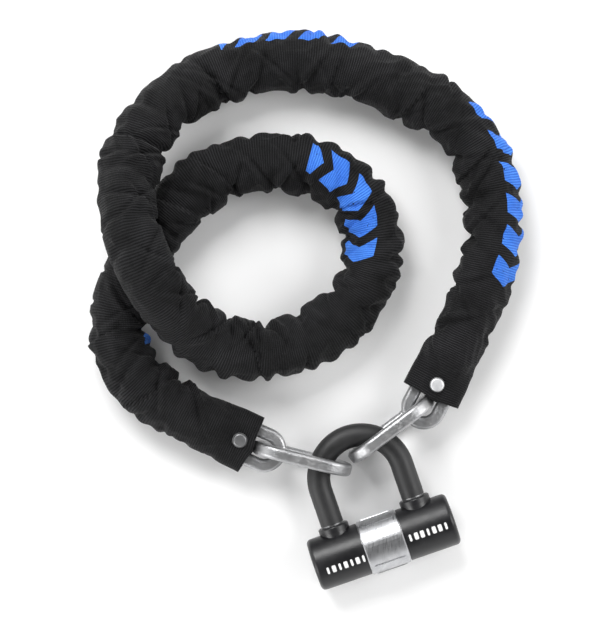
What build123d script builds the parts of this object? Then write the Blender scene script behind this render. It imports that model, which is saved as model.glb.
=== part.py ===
"""A motorcycle chain lock lying on the floor: square-section chain links in a fabric sleeve, coiled twice round,
with both ends of the chain closed by a small U-shaped shackle lock."""

import math
import os

from build123d import *

# Driving dimensions, in millimetres.

# Chain: links of square bar with rounded edges, alternately flat and on edge.
BAR = 8.7
BAR_EDGE = 2.6
LINK_COUNT = 31
LINK_WIDTH = 29.8
BOW_SEAT = 2.7  # from the point where two links bear on each other to the inside of each one's bow
END_LINK_LENGTH = 67.5
END_LINK_WIDTH = 37.0
END_LINK_LEFT_HEADING = -14.0  # degrees from +X, seen from above
END_LINK_RIGHT_HEADING = 217.0

# Sleeve: a tube of fabric, pressed flat at its ends and held there by a rivet through the last link.
SLEEVE_RADIUS = 19.5
SLEEVE_WALL = 0.7
SLEEVE_PRESS = 0.3  # how far its own weight flattens it on the floor
SLEEVE_END = 11.6  # from the chain's last bearing point to the edge of the sleeve
END_FLAT = 26.0  # from the same point to where the sleeve starts to round
END_ROUND = 36.5  # from the same point to where the sleeve is round
MOUTH_WIDTH = 40.0
MOUTH_HEIGHT = 17.0
FLEX_GAP = 0.8  # between two stretches of sleeve that fold against each other
FOLD_LIMIT = 20.0  # degrees that a stretch can be lifted
CHAIN_DROP = 1.2  # the chain lies this much below the middle of its sleeve

# Rivets.
RIVET_PLACE = 20.8  # from the chain's last bearing point
RIVET_POST = 2.4
RIVET_HEAD = 4.6
RIVET_DOME = 1.6
WASHER_RADIUS = 5.0
WASHER_THICK = 0.8

# Route of the sleeve's middle, from the bearing point beside the right end link to that beside the left one.
FLOOR = SLEEVE_RADIUS - SLEEVE_PRESS  # height of the middle of the sleeve where it lies on the floor
PLAN_MIDDLE = (-1.31, 3.91)  # middle of the whole object, which becomes the origin
PLAN_ROUTE = [
    (75.3, -63.3, FLOOR),
    (103, -12, FLOOR),
    (119.5, 29, FLOOR),
    (125.5, 66, FLOOR),
    (118, 104, FLOOR),
    (97, 133, FLOOR),
    (66, 150.5, FLOOR),
    (32, 164, FLOOR),
    (-2, 171, FLOOR),
    (-37, 167.5, FLOOR),
    (-71, 157, FLOOR + 2),
    (-100, 135, FLOOR + 9),
    (-116, 105, FLOOR + 22),
    (-118.5, 74, FLOOR + 37),
    (-110, 42, FLOOR + 45),
    (-95, 13, FLOOR + 36),
    (-76, -10, FLOOR + 20),
    (-47, -23.5, FLOOR + 9),
    (-10, -21.5, FLOOR + 2),
    (23, -1, FLOOR),
    (42, 26, FLOOR),
    (44, 59, FLOOR),
    (29, 87, FLOOR),
    (1, 101.5, FLOOR),
    (-33, 103.5, FLOOR),
    (-67, 94, FLOOR),
    (-93, 68, FLOOR),
    (-114, 36, FLOOR),
    (-128, 3, FLOOR),
    (-124, -29, FLOOR),
    (-105, -51, FLOOR),
    (-74, -69, FLOOR),
    (-26, -90, FLOOR),
]
ROUTE = [(x - PLAN_MIDDLE[0], y - PLAN_MIDDLE[1], z) for x, y, z in PLAN_ROUTE]
ARC_SHARE = 0.48  # how much of the shorter run beside a corner its arc takes up

# Bearing points of the chain where a lifted stretch hinges.
OUTER_FOLDS = (4, 11)
INNER_FOLDS = (17, 24)

# Shackle lock, in its own frame: U along the crossbar, V towards the crown of the shackle, W up.
CROSSBAR_CENTRE = (50.3 - PLAN_MIDDLE[0], -149.9 - PLAN_MIDDLE[1], 18.9)
CROSSBAR_HEADING = 19.05
BODY_RADIUS = 15.8
BODY_HALF = 44.0
COVER_RADIUS = 17.5
COVER_HALF = 48.8
COVER_EDGE = 3.0
BAND_RADIUS = 18.2
BAND_BORE = 16.0
BAND_HALF = 13.5
BAND_RIBS = 7
BAND_RIB = 0.7
WINDOW_RADIUS = 6.5
WINDOW_TURN = 50.0  # degrees from the keyway
LEG_SPREAD = 28.4  # half the distance between the legs
LEG_RADIUS = 7.0
LEG_BORE = 7.3
LEG_FOOT = -11.5
LEG_BORE_END = -12.2
CROWN_START = 45.3
COATING = 0.75
COATING_START = 22.6
NECK_RADIUS = 9.8
NECK_START = 13.5
NECK_END = 17.6
COLLAR_RADIUS = 10.3
COLLAR_END = 21.6

# Locking mechanism.
BOLT_V = 4.5
BOLT_RADIUS = 4.0
BOLT_BORE = 4.2
BOLT_TIP = 19.5  # drawn in
BOLT_SHOULDER = 11.0
NOTCH_RADIUS = 4.4
NOTCH_FLOOR = 25.7
PIN_ORBIT = 4.0
PIN_RADIUS = 1.4
PLUG_RADIUS = 5.0
PLUG_BORE = 4.2
HOUSING_RADIUS = 7.5
HOUSING_FRONT = -13.6
HOUSING_BACK = 0.5
DISC_COUNT = 7

os.makedirs("parts", exist_ok=True)


def finish(name, builder):
    """Label a piece and write it."""
    builder.part.label = name
    export_step(builder.part, f"parts/{name}.step")
    print(name, round(builder.part.volume, 1))


# --- Route and bearing points -------------------------------------------------------------------------------------


def corner_radii(points, share):
    """The radius of the arc at each inner corner, so that it takes that share of the shorter run."""
    radii = []
    for before, corner, after in zip(points, points[1:], points[2:]):
        run_in = Vector(*corner) - Vector(*before)
        run_out = Vector(*after) - Vector(*corner)
        turn = math.radians(run_in.get_angle(run_out))
        radii.append(share * min(run_in.length, run_out.length) / math.tan(turn / 2))
    return radii


RADII = corner_radii(ROUTE, ARC_SHARE)

with BuildLine() as route:
    FilletPolyline(*ROUTE, radius=RADII)
route_wire = route.wire()
ROUTE_LENGTH = route_wire.length
STEPS = 600
TRACK = [route_wire @ (i / STEPS) for i in range(STEPS + 1)]


def at(distance):
    """The point of the route at a distance along it."""
    place = min(max(distance / ROUTE_LENGTH, 0), 1) * STEPS
    index = min(int(place), STEPS - 1)
    return TRACK[index] + (TRACK[index + 1] - TRACK[index]) * (place - index)


def place_at_chord(place, chord):
    """How far along the route the point is that lies a straight distance from the point at a given place."""
    low, high = place, place + 1.3 * chord
    for _ in range(22):
        middle = (low + high) / 2
        if (at(middle) - at(place)).length > chord:
            high = middle
        else:
            low = middle
    return low


def lay_bows(pitch):
    """Where along the route the upright bows of the chain are, about which it bends as seen from above."""
    places = [BOW_REACH]
    for number in range(1, LINK_COUNT + 1):
        own_bows = number % 2 == 0
        places.append(place_at_chord(places[-1], pitch + (2 * BOW_REACH if own_bows else -2 * BOW_REACH)))
    return places


def fitting_pitch():
    """The pitch with which the links reach exactly from one end of the route to the other."""
    low, high = 0.93 * ROUTE_LENGTH / LINK_COUNT, 1.01 * ROUTE_LENGTH / LINK_COUNT
    for _ in range(16):
        middle = (low + high) / 2
        if lay_bows(middle)[-1] > ROUTE_LENGTH - BOW_REACH:
            high = middle
        else:
            low = middle
    return low


def lay_link(number, first, last):
    """The start and end of a link: it heads for the upright bows, and slopes as the level bows beside them lie."""
    outward = -BOW_REACH if number % 2 == 0 else BOW_REACH
    low, high = at(first), at(last)
    behind = at(first - 2 * outward)
    ahead = at(last + 2 * outward)
    rise = (ahead.Z - behind.Z) / (PITCH + 2 * outward)
    flat_way = Vector(high.X - low.X, high.Y - low.Y, 0).normalized()
    way = flat_way * math.sqrt(1 - rise * rise) + Vector(0, 0, rise)
    middle = Vector((low.X + high.X) / 2, (low.Y + high.Y) / 2, (ahead.Z + behind.Z) / 2 - CHAIN_DROP)
    return middle - way * (PITCH / 2), middle + way * (PITCH / 2)


BOW_REACH = BOW_SEAT + BAR / 2
PITCH = fitting_pitch()
BOWS = lay_bows(PITCH)
LINKS = [lay_link(number, BOWS[number - 1], BOWS[number]) for number in range(1, LINK_COUNT + 1)]
STARTS = [start for start, _ in LINKS]
ENDS = [end for _, end in LINKS]
print("route", round(ROUTE_LENGTH, 1), "tightest arc", round(min(RADII), 1), "pitch", round(PITCH, 2))


def fold_point(number):
    """The middle of the flat link's bow where that link and its neighbour bear on each other."""
    if number % 2 == 1:
        return ENDS[number - 1] + (ENDS[number - 1] - STARTS[number - 1]).normalized() * BOW_REACH
    return STARTS[number] - (ENDS[number] - STARTS[number]).normalized() * BOW_REACH


def fold_place(number):
    """How far along the route a fold is."""
    return BOWS[number] + (2 * BOW_REACH if number % 2 == 1 else -2 * BOW_REACH)


def across(start, end):
    """A plane across the way from one point to another, at the first, with its x axis level."""
    way = (end - start).normalized()
    level = Vector(-way.Y, way.X, 0).normalized()
    return Plane(origin=start, x_dir=level, z_dir=way)


def across_route(distance):
    """A plane across the route at a distance along it."""
    plane = across(at(distance - 1), at(distance + 1))
    return Plane(origin=at(distance), x_dir=plane.x_dir, z_dir=plane.z_dir)


# --- Chain --------------------------------------------------------------------------------------------------------


def link_plane(start, end, on_edge):
    """The plane in which a link's oval lies, centred between two points, with its x axis along the chain."""
    way = (end - start).normalized()
    level = Vector(-way.Y, way.X, 0).normalized()
    facing = level if on_edge else way.cross(level)
    return Plane(origin=(start + end) / 2, x_dir=way, z_dir=facing)


def make_link(name, plane, length, width):
    """An oval link of square bar with rounded edges."""
    with BuildPart() as link:
        with BuildSketch(plane):
            SlotOverall(length, width)
            SlotOverall(length - 2 * BAR, width - 2 * BAR, mode=Mode.SUBTRACT)
        extrude(amount=BAR / 2, both=True)
        sides = link.faces().filter_by(lambda face: abs(face.normal_at().dot(plane.z_dir)) > 0.99)
        fillet(sides.edges(), radius=BAR_EDGE)
    finish(name, link)


def make_chain():
    """The links between the two end links, numbered from the right end, the first and last lying flat."""
    length = PITCH + 2 * (BOW_SEAT + BAR)
    for number in range(1, LINK_COUNT + 1):
        plane = link_plane(STARTS[number - 1], ENDS[number - 1], on_edge=number % 2 == 0)
        make_link(f"link_{number:02d}", plane, length, LINK_WIDTH)


def make_end_link(name, bow, heading):
    """A longer link on edge that hangs on the shackle, from the middle of its bow in the chain's last link."""
    way = Vector(math.cos(math.radians(heading)), math.sin(math.radians(heading)), 0)
    near = bow - way * (BAR / 2)
    height = Vector(0, 0, END_LINK_WIDTH / 2 - near.Z)
    plane = link_plane(near + height, near + way * END_LINK_LENGTH + height, on_edge=True)
    make_link(name, plane, END_LINK_LENGTH, END_LINK_WIDTH)


# --- Sleeve -------------------------------------------------------------------------------------------------------


def fold_tool(number):
    """The space between two stretches of sleeve at a fold, wider above the chain, where they close on each other."""
    cross = across_route(fold_place(number))
    reach = SLEEVE_RADIUS + 4
    spread = math.tan(math.radians(FOLD_LIMIT / 2 + 2)) * reach
    middle = cross.origin - Vector(0, 0, CHAIN_DROP)
    side = Plane(origin=middle, x_dir=cross.z_dir, z_dir=-cross.x_dir)
    with BuildPart() as tool:
        with BuildSketch(side):
            with BuildLine():
                Polyline(
                    (-FLEX_GAP / 2, -reach),
                    (FLEX_GAP / 2, -reach),
                    (FLEX_GAP / 2, 0),
                    (FLEX_GAP / 2 + spread, reach),
                    (-FLEX_GAP / 2 - spread, reach),
                    (-FLEX_GAP / 2, 0),
                    close=True,
                )
            make_face()
        extrude(amount=reach, both=True)
    return tool.part


def make_sleeve(name, first, last, folds):
    """A stretch of the sleeve between two distances along the route, cut where it folds."""
    run = route_wire.trim(first / ROUTE_LENGTH, last / ROUTE_LENGTH)
    start = Plane(origin=run @ 0, x_dir=across_route(first).x_dir, z_dir=run % 0)
    with BuildPart() as sleeve:
        with BuildSketch(start):
            Circle(SLEEVE_RADIUS)
        sweep(path=run)
        split(bisect_by=Plane.XY, keep=Keep.TOP)
        with BuildSketch(start):
            Circle(SLEEVE_RADIUS - SLEEVE_WALL)
        sweep(path=run, mode=Mode.SUBTRACT)
        for number in folds:
            add(fold_tool(number), mode=Mode.SUBTRACT)
    finish(name, sleeve)


def make_sleeves():
    """The long stretches of sleeve, on both sides of the folds about which its two loops can be lifted."""
    outer_start, outer_end = OUTER_FOLDS
    inner_start, inner_end = INNER_FOLDS
    last = ROUTE_LENGTH - END_ROUND
    make_sleeve("sleeve_right_end", END_ROUND, fold_place(outer_start), [outer_start])
    make_sleeve("sleeve_outer_loop", fold_place(outer_start), fold_place(outer_end), OUTER_FOLDS)
    make_sleeve("sleeve_crossing", fold_place(outer_end), fold_place(inner_start), [outer_end, inner_start])
    make_sleeve("sleeve_inner_loop", fold_place(inner_start), fold_place(inner_end), INNER_FOLDS)
    make_sleeve("sleeve_left_end", fold_place(inner_end), last, [inner_end])


def end_planes(from_right):
    """Planes across an end of the sleeve, facing into it: at its edge, where it starts to round, and where it is round."""
    planes = []
    for distance in (SLEEVE_END, END_FLAT, END_ROUND):
        cross = across_route(distance if from_right else ROUTE_LENGTH - distance)
        inward = cross.z_dir if from_right else -cross.z_dir
        planes.append(Plane(origin=cross.origin, x_dir=cross.x_dir, z_dir=inward))
    return planes


def end_outline(planes, inset):
    """The flattened end of the sleeve as a solid, smaller all round by the inset, as it rounds into the tube."""
    edge, flat, full = planes
    straight = Plane(origin=edge.origin, x_dir=edge.x_dir, z_dir=flat.origin - edge.origin)
    run = (flat.origin - edge.origin).length
    width, height, round_height = MOUTH_WIDTH - 2 * inset, MOUTH_HEIGHT - 2 * inset, 2 * (SLEEVE_RADIUS - inset)
    with BuildPart() as outline:
        with BuildSketch(straight):
            SlotOverall(width, height)
        extrude(amount=run)
        with BuildSketch(straight.offset(run)):
            SlotOverall(width, height)
        with BuildSketch(full):
            SlotOverall(round_height + 1, round_height)
        loft()
    return outline.part


def make_sleeve_tips():
    """The flattened ends of the sleeve, each with a hole through both its sides for the rivet."""
    with BuildPart() as tips:
        for from_right in (True, False):
            add(end_outline(end_planes(from_right), 0))
        for from_right in (True, False):
            add(end_outline(end_planes(from_right), SLEEVE_WALL), mode=Mode.SUBTRACT)
            with BuildSketch(rivet_plane(from_right)):
                Circle(RIVET_POST)
            extrude(amount=MOUTH_HEIGHT, both=True, mode=Mode.SUBTRACT)
        split(bisect_by=Plane.XY, keep=Keep.TOP)
    finish("sleeve_tips", tips)


def rivet_plane(from_right):
    """A level plane at the middle of a sleeve end, at its rivet."""
    place = RIVET_PLACE if from_right else ROUTE_LENGTH - RIVET_PLACE
    return Plane(origin=at(place))


def make_rivets():
    """A rivet down through each end of the sleeve and the opening of the link in it, with a washer on each side."""
    grip = MOUTH_HEIGHT / 2 + WASHER_THICK
    for name, from_right in (("rivet_right", True), ("rivet_left", False)):
        middle = rivet_plane(from_right)
        with BuildPart() as rivet:
            with BuildSketch(middle):
                Circle(RIVET_POST)
            extrude(amount=grip, both=True)
            for side in (1, -1):
                with BuildSketch(middle.offset(side * grip)):
                    Circle(RIVET_HEAD)
                extrude(amount=side * RIVET_DOME)
            rims = rivet.faces().sort_by(Axis.Z)
            fillet(rims[0].edges() + rims[-1].edges(), radius=0.8 * RIVET_DOME)
        finish(name, rivet)
    with BuildPart() as washers:
        for from_right in (True, False):
            middle = rivet_plane(from_right)
            for side in (1, -1):
                with BuildSketch(middle.offset(side * MOUTH_HEIGHT / 2)):
                    Circle(WASHER_RADIUS)
                    Circle(RIVET_POST, mode=Mode.SUBTRACT)
                extrude(amount=side * WASHER_THICK)
    finish("rivet_washers", washers)


# --- Shackle lock -------------------------------------------------------------------------------------------------

HEADING = math.radians(CROSSBAR_HEADING)
LOCK = Plane(origin=CROSSBAR_CENTRE, x_dir=(math.cos(HEADING), math.sin(HEADING), 0), z_dir=(0, 0, 1))
U, V, W = LOCK.x_dir, LOCK.y_dir, LOCK.z_dir
LEGS = (-LEG_SPREAD, LEG_SPREAD)


def spot(u, v, w):
    """A point of the lock's own frame."""
    return LOCK.from_local_coords(Vector(u, v, w))


def facing_u(u, v=0.0, w=0.0):
    """A plane across the crossbar, its x axis along V and its y axis up."""
    return Plane(origin=spot(u, v, w), x_dir=V, z_dir=U)


def facing_v(v, u=0.0, w=0.0):
    """A plane across the legs, its x axis along U and its y axis down."""
    return Plane(origin=spot(u, v, w), x_dir=U, z_dir=V)


def facing_w(w):
    """A level plane in the lock's own frame, its axes along U and V."""
    return LOCK.offset(w)


def leg_path(start):
    """The middle line of the shackle, up one leg, round the crown and down the other."""
    with BuildLine(LOCK) as path:
        Line((-LEG_SPREAD, start), (-LEG_SPREAD, CROWN_START))
        ThreePointArc((-LEG_SPREAD, CROWN_START), (0, CROWN_START + LEG_SPREAD), (LEG_SPREAD, CROWN_START))
        Line((LEG_SPREAD, CROWN_START), (LEG_SPREAD, start))
    return path.wire()


def make_shackle():
    """The steel shackle, each leg with a hole in its inner side for a bolt, and its plastic coating."""
    with BuildPart() as shackle:
        with BuildSketch(facing_v(LEG_FOOT, -LEG_SPREAD)):
            Circle(LEG_RADIUS)
        sweep(path=leg_path(LEG_FOOT))
        feet = shackle.faces().filter_by(lambda face: abs(face.normal_at().dot(V)) > 0.99)
        chamfer(feet.edges(), length=1.4)
        for side in (-1, 1):
            with BuildSketch(facing_u(side * NOTCH_FLOOR, BOLT_V)):
                Circle(NOTCH_RADIUS)
            extrude(amount=-side * 8, mode=Mode.SUBTRACT)
    finish("shackle", shackle)
    with BuildPart() as coating:
        with BuildSketch(facing_v(COATING_START, -LEG_SPREAD)):
            Circle(LEG_RADIUS + COATING)
            Circle(LEG_RADIUS, mode=Mode.SUBTRACT)
        sweep(path=leg_path(COATING_START))
    finish("shackle_coating", coating)


def make_lock_body():
    """The round steel crossbar, bored for the legs, the bolts, their cam and the cylinder."""
    with BuildPart() as body:
        with BuildSketch(facing_u(-BODY_HALF)):
            Circle(BODY_RADIUS)
        extrude(amount=2 * BODY_HALF)
        chamfer(body.edges().filter_by(GeomType.CIRCLE), length=1.2)
        for u in LEGS:
            with BuildSketch(facing_v(LEG_BORE_END, u)):
                Circle(LEG_BORE)
            extrude(amount=40, mode=Mode.SUBTRACT)
            with BuildSketch(facing_v(NECK_START, u)):
                Circle(NECK_RADIUS)
            extrude(amount=10, mode=Mode.SUBTRACT)
        with BuildSketch(facing_u(-LEG_SPREAD, BOLT_V)):
            Circle(BOLT_BORE)
        extrude(amount=2 * LEG_SPREAD, mode=Mode.SUBTRACT)
        with BuildSketch(facing_v(2.5)):
            Rectangle(34.8, 14.8)
        extrude(amount=5.4, mode=Mode.SUBTRACT)
        with BuildSketch(facing_v(HOUSING_BACK)):
            Circle(6.6)
        extrude(amount=3, mode=Mode.SUBTRACT)
        with BuildSketch(facing_v(HOUSING_BACK)):
            Circle(HOUSING_RADIUS)
        extrude(amount=-20, mode=Mode.SUBTRACT)
        with BuildSketch(facing_w(-8)):
            with Locations((0, -7)):
                Circle(1.25)
        extrude(amount=-10, mode=Mode.SUBTRACT)
        with BuildSketch(facing_w(-4)):
            with Locations((0, -7)):
                Circle(1.25)
        extrude(amount=-5, mode=Mode.SUBTRACT)
    finish("lock_body", body)


def make_covers():
    """The two plastic covers over the crossbar, each with a domed end and a hole for a leg's neck."""
    for name, side in (("cover_left", -1), ("cover_right", 1)):
        with BuildPart() as cover:
            with BuildSketch(facing_u(side * (BAND_HALF + 0.3))):
                Circle(COVER_RADIUS)
            extrude(amount=side * (COVER_HALF - BAND_HALF - 0.3))
            ends = cover.faces().filter_by(lambda face: face.normal_at().dot(U) * side > 0.99)
            fillet(ends.edges(), radius=COVER_EDGE)
            with BuildSketch(facing_u(side * BAND_HALF)):
                Circle(BODY_RADIUS)
            extrude(amount=side * (BODY_HALF - BAND_HALF), mode=Mode.SUBTRACT)
            with BuildSketch(facing_v(5, side * LEG_SPREAD)):
                Circle(NECK_RADIUS)
            extrude(amount=20, mode=Mode.SUBTRACT)
        finish(name, cover)


def make_leg_fittings():
    """Where the legs enter the crossbar: steel necks, dark collars on them, and seals inside the collars."""
    with BuildPart() as necks:
        for u in LEGS:
            with BuildSketch(facing_v(NECK_START, u)):
                Circle(NECK_RADIUS)
                Circle(LEG_BORE, mode=Mode.SUBTRACT)
            extrude(amount=NECK_END - NECK_START)
    finish("leg_necks", necks)
    with BuildPart() as collars:
        for u in LEGS:
            with BuildSketch(facing_v(NECK_END, u)):
                Circle(COLLAR_RADIUS)
                Circle(LEG_BORE, mode=Mode.SUBTRACT)
            extrude(amount=COLLAR_END - NECK_END)
        tops = collars.faces().filter_by(lambda face: face.normal_at().dot(V) > 0.99)
        outer = tops.edges().filter_by(lambda edge: edge.radius > COLLAR_RADIUS - 0.1)
        fillet(outer, radius=1.2)
        for u in LEGS:
            with BuildSketch(facing_v(NECK_END + 1, u)):
                Circle(LEG_BORE + 1.4)
            extrude(amount=1.6, mode=Mode.SUBTRACT)
    finish("leg_collars", collars)
    with BuildPart() as seals:
        for u in LEGS:
            with BuildSketch(facing_v(NECK_END + 1.1, u)):
                Circle(LEG_BORE + 1.4)
                Circle(LEG_RADIUS + 0.05, mode=Mode.SUBTRACT)
            extrude(amount=1.4)
    finish("leg_seals", seals)


def make_band():
    """The turning band over the keyway, with ribs along it and a window that turns round to the keyway."""
    with BuildPart() as band:
        with BuildSketch(facing_u(-BAND_HALF)):
            Circle(BAND_RADIUS)
            Circle(BAND_BORE, mode=Mode.SUBTRACT)
        extrude(amount=2 * BAND_HALF)
        rims = band.faces().filter_by(lambda face: abs(face.normal_at().dot(U)) > 0.99)
        outer = rims.edges().filter_by(lambda edge: edge.radius > BAND_RADIUS - 0.1)
        chamfer(outer, length=0.6)
        for number in range(BAND_RIBS):
            angle = math.radians(-9 + number * 360 / BAND_RIBS)
            up, away = math.cos(angle), -math.sin(angle)
            outward = W * up + V * away
            foot = spot(0, 0, 0) + outward * (BAND_RADIUS - 0.4)
            with BuildSketch(Plane(origin=foot, x_dir=U, z_dir=outward)):
                SlotOverall(2 * BAND_HALF - 5, 2.4)
            extrude(amount=0.4 + BAND_RIB)
        away, down = math.cos(math.radians(WINDOW_TURN)), math.sin(math.radians(WINDOW_TURN))
        outward = V * -away + W * -down
        with BuildSketch(Plane(origin=spot(0, 0, 0) + outward * 10, x_dir=U, z_dir=outward)):
            Circle(WINDOW_RADIUS)
        extrude(amount=20, mode=Mode.SUBTRACT)
    finish("keyway_band", band)


def make_cylinder():
    """The lock cylinder: fixed housing, turning plug, its discs and sidebar, a drill shield and a retaining pin."""
    with BuildPart() as housing:
        with BuildSketch(facing_v(HOUSING_FRONT)):
            Circle(HOUSING_RADIUS)
            Circle(PLUG_RADIUS + 0.05, mode=Mode.SUBTRACT)
        extrude(amount=HOUSING_BACK - HOUSING_FRONT)
        with BuildSketch(facing_w(-5.6)):
            with Locations((0, -7)):
                Circle(1.25)
        extrude(amount=-4, mode=Mode.SUBTRACT)
    finish("cylinder_housing", housing)

    with BuildPart() as plug:
        with BuildSketch(facing_v(HOUSING_FRONT + 1.2)):
            Circle(PLUG_RADIUS)
            Circle(PLUG_BORE, mode=Mode.SUBTRACT)
        extrude(amount=DISC_COUNT * 1.5)
        with BuildSketch(facing_v(HOUSING_FRONT + 1.2 + DISC_COUNT * 1.5)):
            Circle(PLUG_RADIUS)
        extrude(until=None, amount=0.8 - HOUSING_FRONT - 1.2 - DISC_COUNT * 1.5)
        with BuildSketch(facing_w(3)):
            with Locations((0, HOUSING_FRONT + 1.2 + DISC_COUNT * 0.75)):
                Rectangle(1.3, DISC_COUNT * 1.5 - 1)
        extrude(amount=3, mode=Mode.SUBTRACT)
    finish("cylinder_plug", plug)

    with BuildPart() as discs:
        for number in range(DISC_COUNT):
            with BuildSketch(facing_v(HOUSING_FRONT + 1.3 + 1.5 * number)):
                Circle(PLUG_BORE - 0.1)
                Rectangle(1.7, 6, mode=Mode.SUBTRACT)
            extrude(amount=1.3)
    finish("tumbler_discs", discs)

    with BuildPart() as sidebar:
        with BuildSketch(facing_w(PLUG_BORE - 0.05)):
            with Locations((0, HOUSING_FRONT + 1.2 + DISC_COUNT * 0.75)):
                Rectangle(1.1, DISC_COUNT * 1.5 - 1.4)
        extrude(amount=0.7)
    finish("sidebar", sidebar)

    with BuildPart() as shield:
        with BuildSketch(facing_v(HOUSING_FRONT)):
            Circle(PLUG_RADIUS)
            Rectangle(1.7, 6, mode=Mode.SUBTRACT)
        extrude(amount=1.2)
    finish("drill_shield", shield)

    with BuildPart() as pin:
        with BuildSketch(facing_w(-5.8)):
            with Locations((0, -7)):
                Circle(1.25)
        extrude(amount=-7.6)
    finish("retaining_pin", pin)


def make_bolts():
    """The cam on the plug, with two pins, and the two bolts that its pins push apart into the legs."""
    with BuildPart() as cam:
        with BuildSketch(facing_v(0.8)):
            Circle(6.2)
        extrude(amount=1.5)
        for turn in (-45, 135):
            u = PIN_ORBIT * math.cos(math.radians(turn))
            w = PIN_ORBIT * math.sin(math.radians(turn))
            with BuildSketch(facing_v(2.3, u, w)):
                Circle(PIN_RADIUS)
            extrude(amount=5.2)
    finish("bolt_cam", cam)

    pin_u = PIN_ORBIT * math.cos(math.radians(45))
    slot_low, slot_high = PIN_ORBIT + PIN_RADIUS + 0.35, pin_u - PIN_RADIUS - 0.35
    for name, side in (("bolt_left", -1), ("bolt_right", 1)):
        with BuildPart() as bolt:
            with BuildSketch(facing_u(side * BOLT_SHOULDER, BOLT_V)):
                Circle(BOLT_RADIUS)
            extrude(amount=side * (BOLT_TIP - BOLT_SHOULDER))
            tip = bolt.faces().filter_by(lambda face: face.normal_at().dot(U) * side > 0.99)
            chamfer(tip.edges(), length=0.8)
            tail_end = pin_u + PIN_RADIUS + 1.9
            middle_u = side * (BOLT_SHOULDER - tail_end) / 2
            with BuildSketch(facing_v(2.8, middle_u, side * 3.65)):
                Rectangle(BOLT_SHOULDER + tail_end, 6.9)
            extrude(amount=4.0)
            with BuildSketch(facing_v(2, -side * pin_u, side * (slot_low + slot_high) / 2)):
                Rectangle(2 * (PIN_RADIUS + 0.35), slot_low - slot_high)
            extrude(amount=6, mode=Mode.SUBTRACT)
        finish(name, bolt)


for fold in OUTER_FOLDS + INNER_FOLDS:
    print("fold", fold, fold_point(fold))
WAY_IN = (ENDS[0] - STARTS[0]).normalized()
WAY_OUT = (ENDS[-1] - STARTS[-1]).normalized()
RIGHT_BOW = STARTS[0] + WAY_IN * BOW_REACH
LEFT_BOW = ENDS[-1] - WAY_OUT * BOW_REACH
print("end link bows", RIGHT_BOW, LEFT_BOW)
print("last links' bows", STARTS[0] - WAY_IN * BOW_REACH, ENDS[-1] + WAY_OUT * BOW_REACH)
make_chain()
make_end_link("end_link_right", RIGHT_BOW, END_LINK_RIGHT_HEADING)
make_end_link("end_link_left", LEFT_BOW, END_LINK_LEFT_HEADING)
make_sleeves()
make_sleeve_tips()
make_rivets()
make_shackle()
make_lock_body()
make_covers()
make_leg_fittings()
make_band()
make_cylinder()
make_bolts()
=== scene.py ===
import math
import random

import bpy
import numpy as np
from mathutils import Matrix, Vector, noise
from mathutils.bvhtree import BVHTree


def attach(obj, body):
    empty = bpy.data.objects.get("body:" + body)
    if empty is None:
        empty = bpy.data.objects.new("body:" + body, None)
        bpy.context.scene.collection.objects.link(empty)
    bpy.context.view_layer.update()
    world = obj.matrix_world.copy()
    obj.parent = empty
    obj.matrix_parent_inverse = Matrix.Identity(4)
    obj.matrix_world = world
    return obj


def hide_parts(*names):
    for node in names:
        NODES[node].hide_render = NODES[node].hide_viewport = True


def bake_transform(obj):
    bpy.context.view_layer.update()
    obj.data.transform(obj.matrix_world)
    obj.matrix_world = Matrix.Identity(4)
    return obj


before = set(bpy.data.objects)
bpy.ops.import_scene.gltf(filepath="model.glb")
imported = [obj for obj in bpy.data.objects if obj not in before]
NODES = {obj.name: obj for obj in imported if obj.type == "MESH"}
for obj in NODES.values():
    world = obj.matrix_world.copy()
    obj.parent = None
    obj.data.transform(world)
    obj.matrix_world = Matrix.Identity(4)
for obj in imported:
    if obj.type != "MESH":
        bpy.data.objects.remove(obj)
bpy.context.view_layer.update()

MM = 0.001

# Sleeve, in millimetres unless said otherwise.
FLOOR = 19.2
PLAN_MIDDLE = (-1.31, 3.91)
PLAN_ROUTE = [
    (75.3, -63.3, FLOOR),
    (103, -12, FLOOR),
    (119.5, 29, FLOOR),
    (125.5, 66, FLOOR),
    (118, 104, FLOOR),
    (97, 133, FLOOR),
    (66, 150.5, FLOOR),
    (32, 164, FLOOR),
    (-2, 171, FLOOR),
    (-37, 167.5, FLOOR),
    (-71, 157, FLOOR + 2),
    (-100, 135, FLOOR + 9),
    (-116, 105, FLOOR + 22),
    (-118.5, 74, FLOOR + 37),
    (-110, 42, FLOOR + 45),
    (-95, 13, FLOOR + 36),
    (-76, -10, FLOOR + 20),
    (-47, -23.5, FLOOR + 9),
    (-10, -21.5, FLOOR + 2),
    (23, -1, FLOOR),
    (42, 26, FLOOR),
    (44, 59, FLOOR),
    (29, 87, FLOOR),
    (1, 101.5, FLOOR),
    (-33, 103.5, FLOOR),
    (-67, 94, FLOOR),
    (-93, 68, FLOOR),
    (-114, 36, FLOOR),
    (-128, 3, FLOOR),
    (-124, -29, FLOOR),
    (-105, -51, FLOOR),
    (-74, -69, FLOOR),
    (-26, -90, FLOOR),
]
RING_STEP = 1.2
AROUND = 88
LINK_STEP = 37.36  # along the route, from one link to the next
FABRIC = 0.7
SLEEVE_END = 11.6
RIVET_PLACE = 20.8
MOUTH_HALF_WIDTH = 20.0
MOUTH_HALF_HEIGHT = 9.6
MOUTH_SQUARENESS = 2.6  # 2 is an ellipse, and more is squarer
GIRTH_PER_TURN = 0.018  # metres of fabric to a radian round the sleeve
LOCK_TURN = math.radians(19.05)  # from +X to along the crossbar
CROSSING = (-107.0 - PLAN_MIDDLE[0], 42.0 - PLAN_MIDDLE[1])


# --- Small helpers for node materials -------------------------------------------------------------


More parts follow.
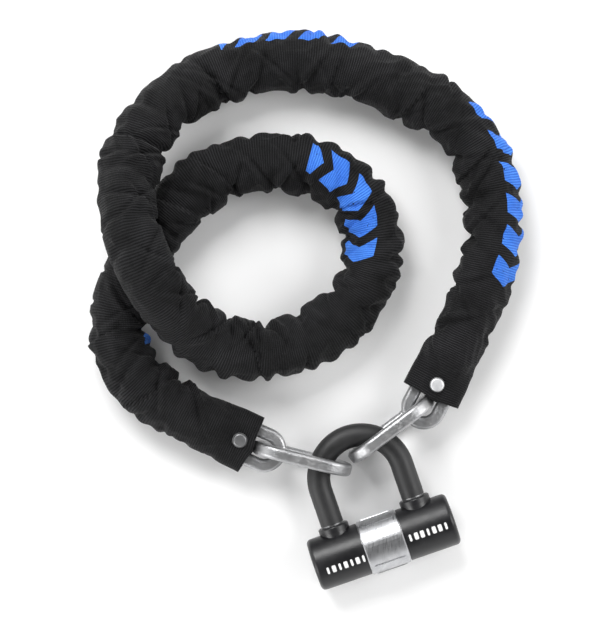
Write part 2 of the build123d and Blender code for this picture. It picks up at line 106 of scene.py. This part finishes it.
def material(name, base, roughness, metallic=0.0, **more):
    """A material whose main shader has these plain values."""
    made = bpy.data.materials.new(name)
    made.use_nodes = True
    shader = made.node_tree.nodes["Principled BSDF"]
    shader.inputs["Base Color"].default_value = (*base, 1)
    shader.inputs["Roughness"].default_value = roughness
    shader.inputs["Metallic"].default_value = metallic
    for key, value in more.items():
        shader.inputs[key.replace("_", " ")].default_value = value
    return made, made.node_tree, shader


def node(tree, kind, **settings):
    """A node of that kind with its settings and, by number or name in `inputs`, its input values."""
    made = tree.nodes.new(kind)
    inputs = settings.pop("inputs", {})
    for key, value in settings.items():
        setattr(made, key, value)
    for key, value in inputs.items():
        made.inputs[key].default_value = value
    return made


def math_node(tree, operation, first, second=None, clamp=False):
    """A math node on two values, each a socket or a number, giving its output socket."""
    made = node(tree, "ShaderNodeMath", operation=operation, use_clamp=clamp)
    for place, value in enumerate((first, second)):
        if value is None:
            continue
        if isinstance(value, (int, float)):
            made.inputs[place].default_value = value
        else:
            tree.links.new(value, made.inputs[place])
    return made.outputs[0]


def noise_node(tree, vector, scale, detail=3.0, rough=0.5):
    """A noise texture's value over a vector socket."""
    made = node(tree, "ShaderNodeTexNoise", inputs={"Scale": scale, "Detail": detail, "Roughness": rough})
    tree.links.new(vector, made.inputs["Vector"])
    return made.outputs["Fac"]


def ramp(tree, value, stops):
    """A colour ramp over a value socket, with (place, grey or colour) stops."""
    made = node(tree, "ShaderNodeValToRGB")
    band = made.color_ramp
    while len(band.elements) < len(stops):
        band.elements.new(0.5)
    for element, (place, colour) in zip(band.elements, stops):
        element.position = place
        element.color = (colour, colour, colour, 1) if isinstance(colour, (int, float)) else (*colour, 1)
    tree.links.new(value, made.inputs[0])
    return made.outputs[0]


def bump(tree, shader, height, distance, strength=1.0):
    """Raises the shader's surface by a height socket, in metres at strength 1."""
    made = node(tree, "ShaderNodeBump", inputs={"Strength": strength, "Distance": distance})
    tree.links.new(height, made.inputs["Height"])
    tree.links.new(made.outputs[0], shader.inputs["Normal"])


def object_coordinates(tree):
    """The object's own coordinates, in metres."""
    return node(tree, "ShaderNodeTexCoord").outputs["Object"]


def mix_colour(tree, share, first, second):
    """A colour between two, each a socket or a colour, by a share socket."""
    made = node(tree, "ShaderNodeMix", data_type="RGBA")
    tree.links.new(share, made.inputs["Factor"])
    for place, value in ((6, first), (7, second)):
        if isinstance(value, tuple):
            made.inputs[place].default_value = (*value, 1)
        else:
            tree.links.new(value, made.inputs[place])
    return made.outputs[2]


# --- Materials ------------------------------------------------------------------------------------


def in_range(tree, value, low, high):
    """1 where a value lies between two limits, else 0."""
    above = math_node(tree, "GREATER_THAN", value, low)
    below = math_node(tree, "LESS_THAN", value, high)
    return math_node(tree, "MULTIPLY", above, below)


# Rows of printed chevrons, in metres: where a row starts and ends along the sleeve, the girth that its
# middle starts and ends at, and half its height.
PRINTS = [
    (0.096, 0.212, 0.013, 0.026, 0.0118),
    (0.286, 0.372, 0.0265, 0.0255, 0.0118),
    (0.744, 0.832, -0.013, 0.006, 0.0115),
    (1.024, 1.036, -0.027, -0.027, 0.007),
]
CHEVRON_PITCH = 0.0196


def printed(tree, along, girth, worn):
    """1 where the sleeve is printed: rows of slanted blocks, worn thin in spots."""
    total = None
    for start, end, first_middle, last_middle, half in PRINTS:
        since = math_node(tree, "SUBTRACT", along, start)
        climb = math_node(tree, "MULTIPLY", since, (last_middle - first_middle) / (end - start))
        above = math_node(tree, "SUBTRACT", math_node(tree, "SUBTRACT", girth, first_middle), climb)
        off = math_node(tree, "ABSOLUTE", above)
        near = math_node(tree, "LESS_THAN", off, half)
        zone = math_node(tree, "MULTIPLY", in_range(tree, along, start, end), near)
        slanted = math_node(tree, "SUBTRACT", since, math_node(tree, "MULTIPLY", off, 0.55))
        step = math_node(tree, "FRACT", math_node(tree, "DIVIDE", slanted, CHEVRON_PITCH))
        stroke = math_node(tree, "LESS_THAN", step, 0.62)
        part = math_node(tree, "MULTIPLY", zone, stroke)
        total = part if total is None else math_node(tree, "MAXIMUM", total, part)
    return math_node(tree, "MULTIPLY", total, math_node(tree, "GREATER_THAN", worn, 0.33))


def sleeve_material():
    """Woven nylon: ribs across the sleeve, finer threads along it, dusty sheen, painted highlights on the rib
    crests, and blue printed blocks.
    """
    made, tree, shader = material("sleeve_weave", (0.012, 0.012, 0.013), 0.7)
    shader.inputs["Sheen Weight"].default_value = 0.05
    shader.inputs["Sheen Roughness"].default_value = 0.4
    shader.inputs["Specular IOR Level"].default_value = 0.15
    uv = node(tree, "ShaderNodeTexCoord").outputs["UV"]
    parts = node(tree, "ShaderNodeSeparateXYZ")
    tree.links.new(uv, parts.inputs[0])
    along, girth = parts.outputs[0], parts.outputs[1]
    wander = noise_node(tree, uv, 60, 2)
    shifted = math_node(tree, "ADD", along, math_node(tree, "MULTIPLY", wander, 0.0016))
    rib = math_node(tree, "SINE", math_node(tree, "MULTIPLY", shifted, 2 * math.pi / 0.0015))
    thread = math_node(tree, "SINE", math_node(tree, "MULTIPLY", girth, 2 * math.pi / 0.0011))
    grain = noise_node(tree, uv, 900, 2)
    threads = math_node(tree, "MULTIPLY", thread, 0.25)
    height = math_node(tree, "ADD", math_node(tree, "MULTIPLY", rib, 0.6), threads)
    height = math_node(tree, "ADD", height, math_node(tree, "MULTIPLY", grain, 0.8))
    crumple = math_node(tree, "MULTIPLY", noise_node(tree, uv, 130, 3, 0.55), 5.0)
    height = math_node(tree, "ADD", height, crumple)
    bump(tree, shader, height, 0.0003)
    patches = noise_node(tree, uv, 30, 4, 0.65)
    # Painted highlight: the base colour is lighter on the rib crests, in random patches, standing in for
    # light catching the weave.
    lit = math_node(tree, "MULTIPLY", math_node(tree, "ADD", rib, 1.0), 0.5)
    rib_highlight_in_patches = math_node(tree, "MULTIPLY", lit, ramp(tree, patches, [(0.35, 0.25), (0.7, 1.0)]))
    rib_tone = math_node(tree, "MULTIPLY", rib_highlight_in_patches, 0.75)
    tone = math_node(tree, "ADD", math_node(tree, "MULTIPLY", patches, 0.25), rib_tone)
    # The light ends of both ramps carry the painted rib highlight, on the black cloth and on the blue print.
    black = ramp(tree, tone, [(0.12, (0.0012, 0.0012, 0.0014)), (0.85, (0.024, 0.024, 0.026))])
    blue = ramp(tree, tone, [(0.1, (0.025, 0.12, 0.55)), (0.8, (0.085, 0.29, 0.88))])
    share = printed(tree, along, girth, noise_node(tree, uv, 260, 3, 0.7))
    tree.links.new(mix_colour(tree, share, black, blue), shader.inputs["Base Color"])
    tree.links.new(ramp(tree, patches, [(0.3, 0.6), (0.7, 0.82)]), shader.inputs["Roughness"])
    return made


def plated_steel(name, bright, roughness, pits):
    """Zinc-plated steel: mottled, slightly pitted, duller in patches."""
    made, tree, shader = material(name, (bright, bright, bright), roughness, 1.0)
    spot = object_coordinates(tree)
    cloud = noise_node(tree, spot, 120, 5, 0.6)
    fine = noise_node(tree, spot, 900, 3, 0.6)
    dull = (bright * 0.72, bright * 0.73, bright * 0.75)
    tint = ramp(tree, cloud, [(0.3, dull), (0.7, (bright, bright, bright * 1.01))])
    tree.links.new(tint, shader.inputs["Base Color"])
    varied = ramp(tree, fine, [(0.3, roughness - 0.1), (0.7, roughness + 0.14)])
    tree.links.new(varied, shader.inputs["Roughness"])
    pitting = math_node(tree, "MULTIPLY", fine, 0.9)
    both = math_node(tree, "ADD", math_node(tree, "MULTIPLY", cloud, 1.5), pitting)
    bump(tree, shader, both, pits)
    return made


def moulded(name, base, roughness, grain_scale, grain_depth):
    """Moulded or dipped plastic or rubber: fine grain, faint scuffs."""
    made, tree, shader = material(name, base, roughness)
    spot = object_coordinates(tree)
    grain = noise_node(tree, spot, grain_scale, 3, 0.6)
    scuff = noise_node(tree, spot, 70, 6, 0.7)
    light = tuple(min(1, c * 1.9 + 0.004) for c in base)
    tree.links.new(ramp(tree, scuff, [(0.35, base), (0.8, light)]), shader.inputs["Base Color"])
    varied = ramp(tree, scuff, [(0.3, roughness - 0.08), (0.75, roughness + 0.1)])
    tree.links.new(varied, shader.inputs["Roughness"])
    bump(tree, shader, grain, grain_depth)
    return made


def band_material():
    """Satin metal brushed round the band."""
    made, tree, shader = material("band_brushed", (0.55, 0.56, 0.58), 0.36, 1.0)
    spot = object_coordinates(tree)
    turn = (0, 0, -LOCK_TURN)
    turned = node(tree, "ShaderNodeMapping", inputs={"Rotation": turn, "Scale": (1, 0.03, 0.03)})
    tree.links.new(spot, turned.inputs["Vector"])
    lines = noise_node(tree, turned.outputs[0], 2600, 2, 0.6)
    cloud = noise_node(tree, spot, 160, 4)
    tree.links.new(ramp(tree, lines, [(0.3, 0.24), (0.7, 0.44)]), shader.inputs["Roughness"])
    tint = ramp(tree, cloud, [(0.3, (0.46, 0.465, 0.48)), (0.7, (0.6, 0.605, 0.62))])
    tree.links.new(tint, shader.inputs["Base Color"])
    bump(tree, shader, lines, 0.00002)
    return made


def paint(name, made):
    """Gives a CAD node a material."""
    mesh = NODES[name].data
    if not mesh.materials:
        mesh.materials.append(made)
    for place in range(len(mesh.materials)):
        mesh.materials[place] = made


def paint_frame():
    """Materials for the CAD nodes that are shown."""
    chain = plated_steel("chain_plating", 0.5, 0.38, 0.00022)
    # Painted highlight: this near-white plating paints the right rivet's bright reflection into its base
    # colour; the left rivet uses the dark plating.
    bright = plated_steel("rivet_plating_painted_highlight", 0.92, 0.5, 0.00004)
    dark = plated_steel("rivet_dark", 0.3, 0.42, 0.00006)
    inner = plated_steel("lock_steel", 0.55, 0.36, 0.00003)
    brass = plated_steel("cylinder_brass", 0.6, 0.3, 0.00003)
    cover = moulded("cover_plastic", (0.0055, 0.0055, 0.0065), 0.36, 1500, 0.00002)
    necks = moulded("neck_black", (0.012, 0.012, 0.013), 0.3, 1200, 0.00002)
    vinyl = moulded("shackle_vinyl", (0.010, 0.010, 0.0105), 0.5, 700, 0.00006)
    rubber = moulded("seal_rubber", (0.015, 0.015, 0.015), 0.7, 900, 0.00004)
    chosen = {
        # The right rivet's near-white colour is a painted highlight.
        "rivet_right": bright,
        "rivet_washers": dark,
        "rivet_left": dark,
        "shackle": dark,
        "shackle_coating": vinyl,
        "cover_left": cover,
        "cover_right": cover,
        "leg_collars": cover,
        "leg_necks": necks,
        "leg_seals": rubber,
        "keyway_band": band_material(),
        "cylinder_housing": brass,
        "cylinder_plug": brass,
        "tumbler_discs": brass,
        "sidebar": brass,
    }
    for name in NODES:
        if name.startswith(("link_", "end_link")):
            paint(name, chain)
        elif not name.startswith("sleeve"):
            paint(name, chosen.get(name, inner))


# --- Sleeve ---------------------------------------------------------------------------------------


def smooth_route():
    """Points along the smooth line through the sleeve's middle, in metres."""
    curve = bpy.data.curves.new("route", "CURVE")
    curve.dimensions = "3D"
    curve.resolution_u = 24
    spline = curve.splines.new("NURBS")
    spline.points.add(len(PLAN_ROUTE) - 1)
    for point, (x, y, z) in zip(spline.points, PLAN_ROUTE):
        point.co = ((x - PLAN_MIDDLE[0]) * MM, (y - PLAN_MIDDLE[1]) * MM, z * MM, 1)
    spline.order_u = 3
    spline.use_endpoint_u = True
    holder = bpy.data.objects.new("route", curve)
    mesh = bpy.data.meshes.new_from_object(holder)
    points = np.array([tuple(v.co) for v in mesh.vertices])
    bpy.data.objects.remove(holder)
    return points


def even_rings(points):
    """Evenly spaced places along a line, with their distances from its start, in metres."""
    steps = np.linalg.norm(np.diff(points, axis=0), axis=1)
    reached = np.concatenate([[0], np.cumsum(steps)])
    first, last = SLEEVE_END * MM, reached[-1] - SLEEVE_END * MM
    count = int((last - first) / (RING_STEP * MM)) + 1
    places = np.linspace(first, last, count)
    centres = np.stack([np.interp(places, reached, points[:, axis]) for axis in range(3)], axis=1)
    return centres, places, reached[-1]


def ring_axes(centres):
    """For each ring, the direction to the right of the way along it, and the direction up from it."""
    way = np.gradient(centres, axis=0)
    way /= np.linalg.norm(way, axis=1)[:, None]
    right = np.cross(way, (0, 0, 1))
    right /= np.linalg.norm(right, axis=1)[:, None]
    return right, np.cross(right, way), way


def blurred(field, passes):
    """A field over rings and angles, averaged with its neighbours that many times."""
    for _ in range(passes):
        field = (field + np.roll(field, 1, 1) + np.roll(field, -1, 1)) / 3
        padded = np.concatenate([field[:1], field, field[-1:]])
        field = (padded[:-2] + padded[1:-1] + padded[2:]) / 3
    return field


def widened(field, reach):
    """Each value becomes the largest within a reach round it."""
    best = field.copy()
    for shift in range(-reach, reach + 1):
        best = np.maximum(best, np.roll(field, shift, 1))
    rows = best.copy()
    for shift in range(1, reach + 1):
        rows[shift:] = np.maximum(rows[shift:], best[:-shift])
        rows[:-shift] = np.maximum(rows[:-shift], best[shift:])
    return rows


def chain_reach(centres, outward):
    """How far the chain reaches from the sleeve's middle in each direction, in metres."""
    corners, faces = [], []
    for name, shown in NODES.items():
        if name.startswith("link_"):
            base = len(corners)
            corners += [tuple(v.co) for v in shown.data.vertices]
            faces += [[base + i for i in polygon.vertices] for polygon in shown.data.polygons]
    tree = BVHTree.FromPolygons(corners, faces)
    reach = np.zeros(outward.shape[:2])
    far = 0.026
    for i, centre in enumerate(centres):
        for j in range(AROUND):
            direction = Vector(outward[i, j])
            start = Vector(centre) + direction * far
            hit = tree.ray_cast(start, -direction, far)
            if hit[0] is not None:
                reach[i, j] = far - hit[3]
    return reach


# Tucks in the fabric: place along, angle round from straight up, half spread, depth, lean. Lengths in metres.
TUCKS = [
    (0.4570, 0.1, 1.7, 0.0032, 0.0),
    (0.3830, -0.5, 1.1, 0.0026, 0.006),
    (0.3000, -0.9, 1.0, 0.0020, -0.004),
    (0.1750, -0.8, 1.2, 0.0022, 0.007),
    (0.2420, -0.7, 1.1, 0.0024, -0.005),
    (0.6400, 0.3, 1.2, 0.0022, 0.006),
    (0.7900, -0.4, 1.2, 0.0024, -0.007),
    (0.8900, -0.5, 1.3, 0.0026, 0.008),
    (0.9300, 0.2, 1.0, 0.0022, 0.006),
    (1.0700, 0.2, 1.2, 0.0026, -0.006),
    (1.0250, 0.7, 1.1, 0.0020, 0.005),
]


def fold_field(places, angles, bend):
    """Creases and swellings of the fabric in metres, deeper in bends and more on their outer side."""
    rng = random.Random(11)
    field = np.zeros((len(places), AROUND))
    for i, place in enumerate(places):
        for j, angle in enumerate(angles):
            x, y = math.cos(angle) * 1.1, math.sin(angle) * 1.1
            broad = noise.noise(Vector((place * 16, x, y)))
            slant = noise.noise(Vector((place * 55 + angle * 0.9, x * 1.3 + 7, y * 1.3)))
            field[i, j] = 0.0016 * broad + 0.0024 * (0.3 - abs(slant))
    place = places[0] + 0.02
    while place < places[-1] - 0.02:
        row = int((place - places[0]) / (places[-1] - places[0]) * (len(places) - 1))
        turning = min(1.0, abs(bend[row]) / 16)
        outer = -math.pi / 2 if bend[row] < 0 else math.pi / 2
        on_outer = rng.random() < 0.35 + 0.5 * turning
        middle = outer + rng.uniform(-0.8, 0.8) if on_outer else rng.uniform(-2.2, 2.2)
        lean = rng.uniform(-0.0085, 0.0085)
        width = rng.uniform(0.0018, 0.0036)
        spread = rng.uniform(0.6, 1.15)
        depth = rng.uniform(0.0009, 0.0022) * (0.7 + 0.9 * turning)
        gap = (angles - middle + math.pi) % (2 * math.pi) - math.pi
        across = places[:, None] - place - lean * gap[None, :]
        around = np.exp(-(gap / spread) ** 2)[None, :]
        crease = -np.exp(-(across / width) ** 2)
        swell = 0.55 * np.exp(-((np.abs(across) - 2.1 * width) / (1.3 * width)) ** 2)
        field += depth * around * (crease + swell)
        place += rng.uniform(0.006, 0.0115)
    return field + pinch_field(places, angles, bend) + tuck_field(places, angles)


def pinch_field(places, angles, bend):
    """Deep pinches in metres on the inner side of bends, about one to a link, with fabric out between."""
    rng = random.Random(5)
    field = np.zeros((len(places), AROUND))
    place = 0.052
    while place < places[-1] - 0.05:
        row = int((place - places[0]) / (places[-1] - places[0]) * (len(places) - 1))
        turning = min(1.0, abs(bend[row]) / 11)
        inner = -math.pi / 2 if bend[row] > 0 else math.pi / 2
        gap = (angles - inner - rng.uniform(-0.3, 0.3) + math.pi) % (2 * math.pi) - math.pi
        lean = rng.uniform(-0.006, 0.006)
        width = rng.uniform(0.0028, 0.0045)
        across = places[:, None] - place - lean * gap[None, :]
        around = np.exp(-(gap / rng.uniform(0.8, 1.2)) ** 2)[None, :]
        swell = 0.4 * np.exp(-((np.abs(across) - 2.6 * width) / (1.6 * width)) ** 2)
        dip = -np.exp(-(across / width) ** 2) + swell
        field += rng.uniform(0.0032, 0.0058) * (0.35 + 0.65 * turning) * around * dip
        for side in (-1, 1):
            lean = side * rng.uniform(0.007, 0.017)
            field += fan_crease(places, gap, place, lean, rng.uniform(0.0012, 0.0026))
        place += rng.uniform(0.022, 0.040)
    return field


def fan_crease(places, gap, place, lean, depth):
    """A long slanting crease in metres that starts at a pinch and crosses the top of the sleeve."""
    across = places[:, None] - place - lean * gap[None, :]
    around = np.exp(-((np.abs(gap) - 0.9) / 0.85) ** 2)[None, :]
    return depth * around * (np.exp(-((across - 0.0042) / 0.0026) ** 2) - np.exp(-(across / 0.0019) ** 2))


def tuck_field(places, angles):
    """Places, in metres, where the fabric folds over itself: a sharp edge across it that dies away slowly."""
    field = np.zeros((len(places), AROUND))
    for place, middle, spread, depth, lean in TUCKS:
        gap = (angles - middle + math.pi) % (2 * math.pi) - math.pi
        across = places[:, None] - place - lean * gap[None, :]
        after = 0.5 * np.exp(-np.maximum(across, 0) / 0.011) * (across > 0)
        before = -np.exp(np.minimum(across, 0) / 0.0045) * (across <= 0)
        field += depth * np.exp(-(gap / spread) ** 4)[None, :] * (after + before)
    return field


def settle(field, low, high):
    """Keeps a field between two others."""
    return np.minimum(np.maximum(field, low), high)


def sleeve_surface():
    """The sleeve's outer surface as a grid of points, rings by angles, and its UV coordinates, in metres."""
    centres, places, length = even_rings(smooth_route())
    right, up, way = ring_axes(centres)
    angles = np.linspace(-math.pi, math.pi, AROUND, endpoint=False)
    sines, cosines = np.sin(angles), np.cos(angles)
    outward = right[:, None, :] * sines[None, :, None] + up[:, None, :] * cosines[None, :, None]
    turn = np.gradient(np.unwrap(np.arctan2(way[:, 1], way[:, 0])), places)

    flatness = np.cos(math.pi * (places / (LINK_STEP * MM) - 0.5))[:, None]
    half_width = (18.4 + 0.9 * flatness) * MM
    half_height = (17.7 - 1.1 * flatness) * MM
    radius = 1 / np.sqrt((sines[None, :] / half_width) ** 2 + (cosines[None, :] / half_height) ** 2)
    radius = radius + fold_field(places, angles, turn)
    reach = chain_reach(centres, outward)
    near = np.hypot(centres[:, 0] - CROSSING[0] * MM, centres[:, 1] - CROSSING[1] * MM)[:, None]
    most = np.where(near < 0.05, 0.0192, 0.0214)
    held = np.minimum(blurred(widened(reach, 2), 3) + 0.0013, most)
    radius = settle(radius, held, most)

    from_end = np.minimum(places, length - places)[:, None] / MM
    share = np.clip((from_end - 24) / 15, 0, 1)
    share = share * share * (3 - 2 * share)
    wide = np.abs(sines[None, :] / MOUTH_HALF_WIDTH) ** MOUTH_SQUARENESS
    high = np.abs(cosines[None, :] / MOUTH_HALF_HEIGHT) ** MOUTH_SQUARENESS
    flat = (wide + high) ** (-1 / MOUTH_SQUARENESS) * MM
    ripple = 0.0007 * np.sin(angles * 5 + 1.0)[None, :] * np.exp(-(from_end - SLEEVE_END) / 8)
    flat = flat + ripple
    radius = np.maximum(flat * (1 - share) + radius * share, held)
    points = centres[:, None, :] + outward * radius[:, :, None]
    frayed = np.exp(-(from_end - SLEEVE_END) / 7) * np.sign(places[:, None] - length / 2)
    waves = 1.1 * np.cos(2 * angles + 0.4) + 0.7 * np.sin(3 * angles)
    points = points + way[:, None, :] * (frayed * waves[None, :] * MM)[:, :, None]

    for place in (RIVET_PLACE * MM, length - RIVET_PLACE * MM):
        middle = np.array([np.interp(place, places, centres[:, axis]) for axis in range(3)])
        away = np.hypot(points[:, :, 0] - middle[0], points[:, :, 1] - middle[1]) / MM
        pinch = np.exp(-(np.maximum(away - 4.5, 0) / 3.5) ** 2)
        level = middle[2] + np.sign(points[:, :, 2] - middle[2]) * 8.5 * MM
        points[:, :, 2] = points[:, :, 2] * (1 - pinch) + level * pinch
    points[:, :, 2] = np.maximum(points[:, :, 2], 0.0001)
    uv = np.stack(np.broadcast_arrays(places[:, None], angles[None, :] * GIRTH_PER_TURN), axis=2)
    return points, uv, centres, outward


def grid_normals(points):
    """The surface's normal at every point of the grid."""
    along = np.gradient(points, axis=0)
    around = np.roll(points, -1, 1) - np.roll(points, 1, 1)
    normals = np.cross(along, around)
    return normals / np.maximum(np.linalg.norm(normals, axis=2), 1e-12)[:, :, None]


def sleeve_piece(name, first, last, points, normals, uv):
    """A stretch of sleeve between two rings, with an outer and an inner surface and closed edges."""
    rows = last - first + 1
    outer = points[first:last + 1].reshape(-1, 3)
    facing = normals[first:last + 1].reshape(-1, 3)
    inner = outer - facing * FABRIC * MM
    count = len(outer)
    faces = []
    for i in range(rows - 1):
        for j in range(AROUND):
            a, b = i * AROUND + j, i * AROUND + (j + 1) % AROUND
            faces.append((a, b, b + AROUND, a + AROUND))
            faces.append((count + a, count + a + AROUND, count + b + AROUND, count + b))
    for i, step in ((0, 1), (rows - 1, -1)):
        for j in range(AROUND):
            a, b = i * AROUND + j, i * AROUND + (j + 1) % AROUND
            face = (a, count + a, count + b, b)
            faces.append(face if step == 1 else face[::-1])
    mesh = bpy.data.meshes.new(name)
    mesh.from_pydata(np.concatenate([outer, inner]).tolist(), [], faces)
    layer = mesh.uv_layers.new(name="UVMap")
    flat_uv = uv[first:last + 1].reshape(-1, 2)
    seam = (AROUND - 1, 0)
    for polygon in mesh.polygons:
        columns = [v % AROUND for v in polygon.vertices]
        wraps = seam[0] in columns and seam[1] in columns
        for loop, vertex in zip(polygon.loop_indices, polygon.vertices):
            u, v = flat_uv[vertex % count]
            if wraps and vertex % AROUND == 0:
                v += 2 * math.pi * GIRTH_PER_TURN
            layer.data[loop].uv = (u, v)
    mesh.polygons.foreach_set("use_smooth", [True] * len(mesh.polygons))
    made = bpy.data.objects.new(name, mesh)
    bpy.context.scene.collection.objects.link(made)
    mesh.normals_split_custom_set_from_vertices(np.concatenate([facing, -facing]).tolist())
    return made


SLEEVE_STRETCHES = [
    ("sleeve_fabric_right", "chain", "outer_loop", 0, 0.262, "link_03",
     ("sleeve_tips", "sleeve_right_end", "sleeve_outer_loop")),
    ("sleeve_fabric_top", "outer_loop", "chain", 0.262, 0.540, "link_09",
     ("sleeve_outer_loop", "sleeve_crossing")),
    ("sleeve_fabric_middle", "chain", "inner_loop", 0.540, 0.770, "link_19",
     ("sleeve_crossing", "sleeve_inner_loop")),
    ("sleeve_fabric_left", "inner_loop", "chain", 0.770, 9, "link_27",
     ("sleeve_inner_loop", "sleeve_left_end", "sleeve_tips")),
]
# Where each stretch would bend when its loop is lifted, in metres: the fold's middle and the way across it.
# Nothing bends the stretches with these.
FOLDS = {
    "sleeve_fabric_right": ((0.1276, 0.0642, 0.018), (-0.05, 1, 0)),
    "sleeve_fabric_top": ((-0.0912, 0.1397, 0.025), (-0.75, -0.66, 0)),
    "sleeve_fabric_middle": ((-0.0371, -0.0300, 0.025), (0.99, 0.12, 0)),
    "sleeve_fabric_left": ((-0.0576, 0.0956, 0.018), (-0.85, -0.52, 0)),
}
FOLD_REACH = 0.024


def make_sleeve():
    """The fabric sleeve in four stretches that share their edges."""
    points, uv, centres, outward = sleeve_surface()
    normals = grid_normals(points)
    if (normals[10] * outward[10]).sum() < 0:
        normals = -normals
    cloth = sleeve_material()
    places = uv[:, 0, 0]
    for name, before, after, start, end, chain_link, replaced in SLEEVE_STRETCHES:
        first = int(np.searchsorted(places, start))
        last = min(int(np.searchsorted(places, end)), len(places) - 1)
        piece = sleeve_piece(name, first, last, points, normals, uv)
        piece.data.materials.append(cloth)
        middle, way = FOLDS[name]
        way = Vector(way).normalized() * FOLD_REACH
        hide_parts(*replaced)
        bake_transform(piece)


# --- Lock -----------------------------------------------------------------------------------------

LOCK_MIDDLE = Vector((50.3 - PLAN_MIDDLE[0], -149.9 - PLAN_MIDDLE[1], 18.9)) * MM
LOCK_U = Vector((math.cos(LOCK_TURN), math.sin(LOCK_TURN), 0))
LOCK_V = Vector((-math.sin(LOCK_TURN), math.cos(LOCK_TURN), 0))
COVER_RADIUS = 17.5


def on_cover(u, turn, lift):
    """A point on a cover, from millimetres along the crossbar and a turn from straight up to the crown."""
    reach = (COVER_RADIUS + lift) * MM
    up = Vector((0, 0, 1))
    return LOCK_MIDDLE + LOCK_U * u * MM + up * (reach * math.cos(turn)) + LOCK_V * (reach * math.sin(turn))


def make_mark(name, bars):
    """White printed bars on a cover, each given by its place along the crossbar, turn and half sizes."""
    corners, faces = [], []
    for u, turn, half_u, half_turn in bars:
        steps = 6
        base = len(corners)
        for i in range(steps + 1):
            t = turn - half_turn + 2 * half_turn * i / steps
            pull = 0.35 if i in (0, steps) else 0.0
            for side in (-1, 1):
                corners.append(on_cover(u + side * (half_u - pull), t, 0.06))
        for i in range(steps):
            a = base + 2 * i
            faces.append((a, a + 1, a + 3, a + 2))
    mesh = bpy.data.meshes.new(name)
    mesh.from_pydata([tuple(c) for c in corners], [], faces)
    made = bpy.data.objects.new(name, mesh)
    bpy.context.scene.collection.objects.link(made)
    white, tree, shader = material(name + "_ink", (0.8, 0.8, 0.8), 0.5)
    worn = noise_node(tree, object_coordinates(tree), 1200, 3, 0.7)
    tree.links.new(ramp(tree, worn, [(0.3, 0.62), (0.6, 0.86)]), shader.inputs["Base Color"])
    mesh.materials.append(white)
    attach(made, "crossbar")


def make_marks():
    """Plain rows of white bars on both covers."""
    left = [(-40.5 + 4.1 * i, -0.22, 1.35 if i % 2 else 0.8, 0.135) for i in range(7)]
    right = [(17.5 + 4.1 * i, -0.06, 1.35 if i % 3 else 0.8, 0.135) for i in range(7)]
    make_mark("mark_left", left)
    make_mark("mark_right", right)


# --- Stage ----------------------------------------------------------------------------------------


def make_stage():
    """A pale floor, soft lights all round, and the camera straight above."""
    mesh = bpy.data.meshes.new("floor")
    mesh.from_pydata([(-3, -3, 0), (3, -3, 0), (3, 3, 0), (-3, 3, 0)], [], [(0, 1, 2, 3)])
    floor = bpy.data.objects.new("floor", mesh)
    bpy.context.scene.collection.objects.link(floor)
    pale, _, _ = material("floor_pale", (0.93, 0.93, 0.93), 0.9)
    mesh.materials.append(pale)

    world = bpy.data.worlds.new("studio")
    world.use_nodes = True
    sky = world.node_tree
    height = node(sky, "ShaderNodeSeparateXYZ")
    sky.links.new(node(sky, "ShaderNodeTexCoord").outputs["Generated"], height.inputs[0])
    dome = ramp(sky, height.outputs[2], [(0.0, 1.0), (0.35, 1.0), (0.8, 0.22), (1.0, 0.12)])
    sky.links.new(dome, sky.nodes["Background"].inputs[0])
    sky.nodes["Background"].inputs[1].default_value = 1.15
    bpy.context.scene.world = world
    lights = [
        ("key", (-0.5, 1.0, 1.2), 0.8, 20),
        ("fill", (1.1, 0.2, 1.0), 0.8, 10),
        ("low", (-1.0, -0.7, 0.8), 0.8, 8),
    ]
    for name, place, size, power in lights:
        data = bpy.data.lights.new(name, "AREA")
        data.size = size
        data.energy = power
        lamp = bpy.data.objects.new(name, data)
        lamp.location = place
        lamp.rotation_euler = (-Vector(place)).to_track_quat("-Z", "Y").to_euler()
        bpy.context.scene.collection.objects.link(lamp)

    data = bpy.data.cameras.new("camera")
    data.lens = 104
    data.sensor_width = 36
    camera = bpy.data.objects.new("camera", data)
    camera.location = (-0.0040, -0.0009, 1.218)
    bpy.context.scene.collection.objects.link(camera)
    bpy.context.scene.camera = camera
    bpy.context.scene.view_settings.view_transform = "Standard"


paint_frame()
make_sleeve()
make_marks()
make_stage()
